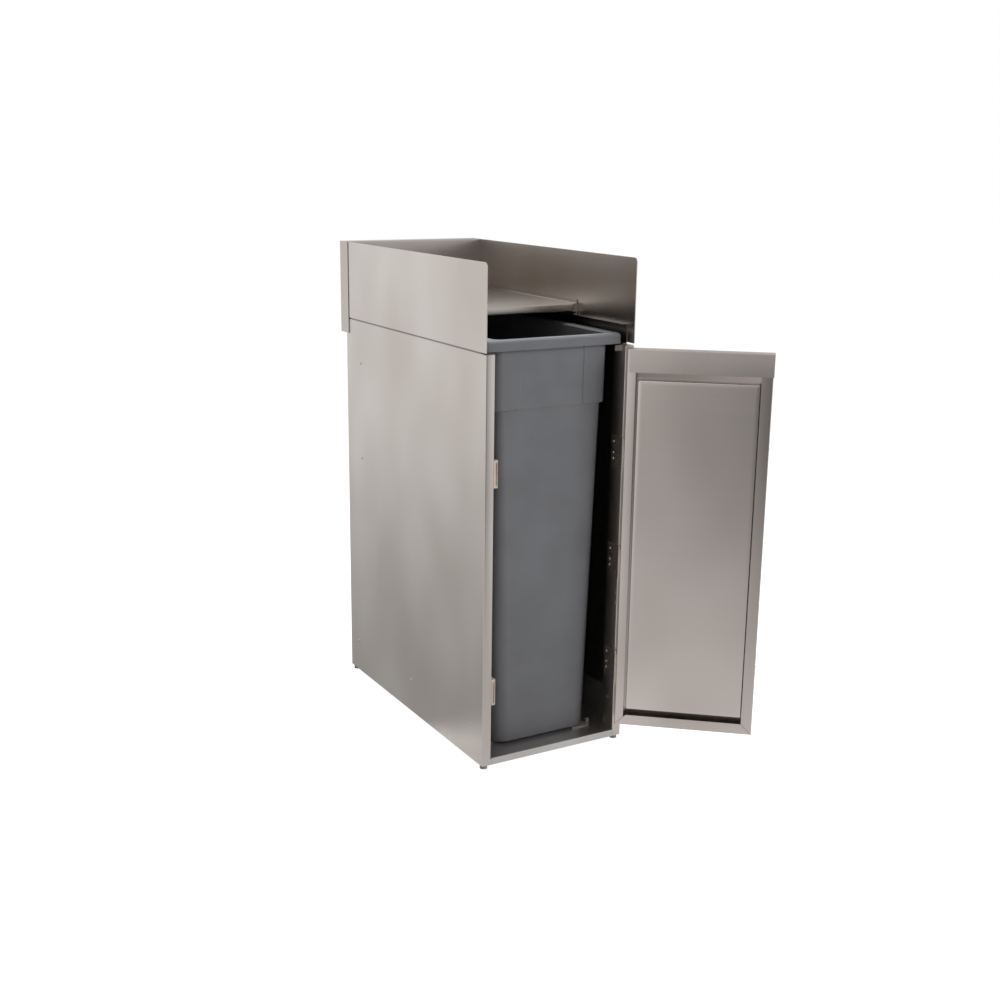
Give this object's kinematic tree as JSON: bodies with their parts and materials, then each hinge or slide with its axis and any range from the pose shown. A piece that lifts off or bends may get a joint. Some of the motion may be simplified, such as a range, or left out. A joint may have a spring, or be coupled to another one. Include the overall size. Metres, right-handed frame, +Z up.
{
  "type": "underbar trash cabinet",
  "caption": "Narrow stainless underbar cabinet with splashes, a shelf over the drop opening, a hinged full-height door and a slim grey bin that slides out of it.",
  "frame": {"origin": "middle of the cabinet's footprint, on the floor that the glides stand on", "axes": "+X to the right seen from the door, +Y from the door to the wall, +Z up"},
  "size_m": [0.4825, 0.8003, 0.916],
  "materials": {
    "stainless": "fine straight brushed grain, satin",
    "rivet_steel": "smooth satin",
    "plated_steel": "dull bright plating",
    "bin_plastic": "moulded polyethylene with a fine texture",
    "catch_plastic": "moulded, satin",
    "magnet": "ferrite, dull",
    "glide_plastic": "moulded nylon",
    "slide_plastic": "pale polyethylene slide strip"
  },
  "bodies": {
    "cabinet": {"side_left": "stainless", "side_right": "stainless", "back_panel": "stainless", "floor_pan": "stainless", "rail_left": "stainless", "rail_right": "stainless", "splash_left": "stainless", "splash_right": "stainless", "back_splash": "stainless", "splash_end_left": "stainless", "splash_end_right": "stainless", "shelf": "stainless", "shelf_leg_left": "stainless", "shelf_leg_right": "stainless", "bin_stop_left": "stainless", "bin_stop_right": "stainless", "runner_left": "slide_plastic", "runner_right": "slide_plastic", "guide_studs": "rivet_steel", "side_rivets_left": "rivet_steel", "side_rivets_right": "rivet_steel", "back_rivets": "rivet_steel", "hinge_backing_plate": "plated_steel", "jamb_rivets": "rivet_steel", "hinge_low_frame_leaf": "plated_steel", "hinge_middle_frame_leaf": "plated_steel", "hinge_high_frame_leaf": "plated_steel", "hinge_pins": "plated_steel", "hinge_frame_screws": "plated_steel", "catch_low_body": "catch_plastic", "catch_high_body": "catch_plastic", "catch_pole_plates": "plated_steel", "catch_magnets": "magnet", "catch_screws": "plated_steel", "glide_nuts": "plated_steel"},
    "door": {"door_skin": "stainless", "door_liner": "stainless", "door_edge_rivets": "rivet_steel", "hinge_low_door_leaf": "plated_steel", "hinge_middle_door_leaf": "plated_steel", "hinge_high_door_leaf": "plated_steel", "hinge_door_screws": "plated_steel"},
    "bin": {"bin": "bin_plastic", "bin_rim": "bin_plastic"},
    "glide_front_left": {"glide_pad_front_left": "glide_plastic", "glide_stud_front_left": "plated_steel"},
    "glide_front_right": {"glide_pad_front_right": "glide_plastic", "glide_stud_front_right": "plated_steel"},
    "glide_rear_left": {"glide_pad_rear_left": "glide_plastic", "glide_stud_rear_left": "plated_steel"},
    "glide_rear_right": {"glide_pad_rear_right": "glide_plastic", "glide_stud_rear_right": "plated_steel"}
  },
  "joints": [
    {"name": "door_hinge", "type": "hinge", "parent": "cabinet", "child": "door", "pos_m": [0.1326, -0.3093, 0.36], "axis": [0, 0, 1], "range_deg": [-140, 40]},
    {"name": "bin_slide", "type": "slide", "parent": "cabinet", "child": "bin", "axis": [0, -1, 0], "range_m": [0, 0.5]},
    {"name": "glide_front_left_screw", "type": "slide", "parent": "cabinet", "child": "glide_front_left", "axis": [0, 0, -1], "range_m": [0, 0.006]},
    {"name": "glide_front_right_screw", "type": "slide", "parent": "cabinet", "child": "glide_front_right", "axis": [0, 0, -1], "range_m": [0, 0.006]},
    {"name": "glide_rear_left_screw", "type": "slide", "parent": "cabinet", "child": "glide_rear_left", "axis": [0, 0, -1], "range_m": [0, 0.006]},
    {"name": "glide_rear_right_screw", "type": "slide", "parent": "cabinet", "child": "glide_rear_right", "axis": [0, 0, -1], "range_m": [0, 0.006]}
  ]
}
